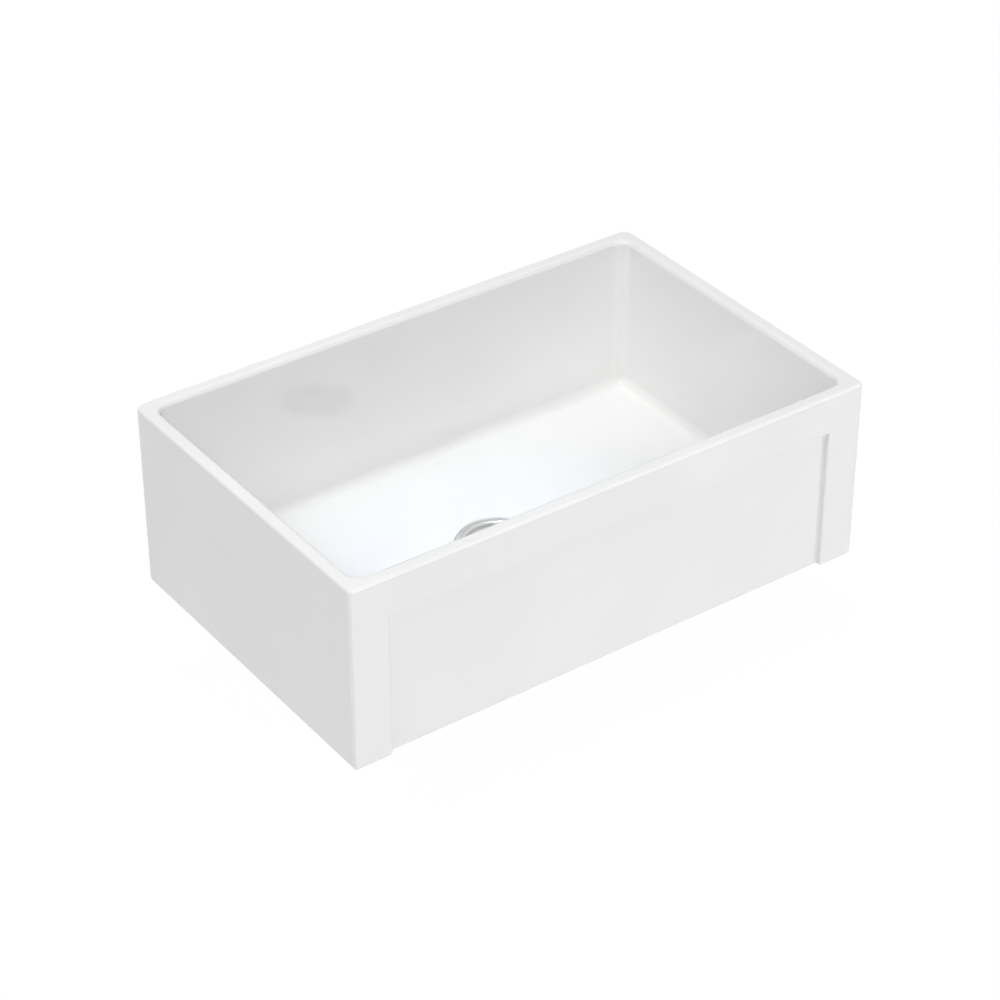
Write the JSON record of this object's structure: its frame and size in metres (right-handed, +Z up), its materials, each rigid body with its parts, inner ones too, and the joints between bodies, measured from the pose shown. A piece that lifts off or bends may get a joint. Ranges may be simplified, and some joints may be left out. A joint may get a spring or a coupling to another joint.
{
  "type": "farmhouse apron front sink",
  "caption": "Rectangular single-bowl farmhouse sink with a recessed-panel apron and a complete basket strainer drain below it.",
  "frame": {"origin": "middle of the sink's base plane, where the cabinet's support carries it; the drain hangs below", "axes": "+X to the right seen from the apron, +Y from the apron to the back, +Z up"},
  "size_m": [0.762, 0.482, 0.4061],
  "materials": {
    "glaze": "gloss",
    "brushed_steel": "satin",
    "polished_steel": "polished",
    "plated_brass": "polished",
    "cast_brass": "satin",
    "zinc_steel": "satin",
    "black_rubber": "matte",
    "putty": "matte",
    "white_plastic": "satin"
  },
  "bodies": {
    "sink": {"basin": "glaze", "putty_ring": "putty", "strainer_body": "brushed_steel", "outlet_spud": "plated_brass", "sink_washer": "black_rubber", "pressure_ring": "zinc_steel", "locknut": "cast_brass", "jam_screws": "zinc_steel", "tailpiece_washer": "white_plastic", "tailpiece": "plated_brass", "coupling_nut": "plated_brass"},
    "basket": {"basket_cup": "brushed_steel", "guide_bush": "white_plastic", "bush_nut": "plated_brass", "grip_ring": "black_rubber"},
    "stopper": {"stem": "brushed_steel", "knob": "polished_steel", "stopper_plate": "brushed_steel", "stopper_seal": "black_rubber", "stopper_washer": "brushed_steel", "stopper_nut": "zinc_steel"}
  },
  "joints": [
    {"name": "basket_lift", "type": "slide", "parent": "sink", "child": "basket", "axis": [0, 0, 1], "range_m": [0, 0.3]},
    {"name": "stopper_lift", "type": "slide", "parent": "basket", "child": "stopper", "axis": [0, 0, 1], "range_m": [0, 0.009]}
  ]
}
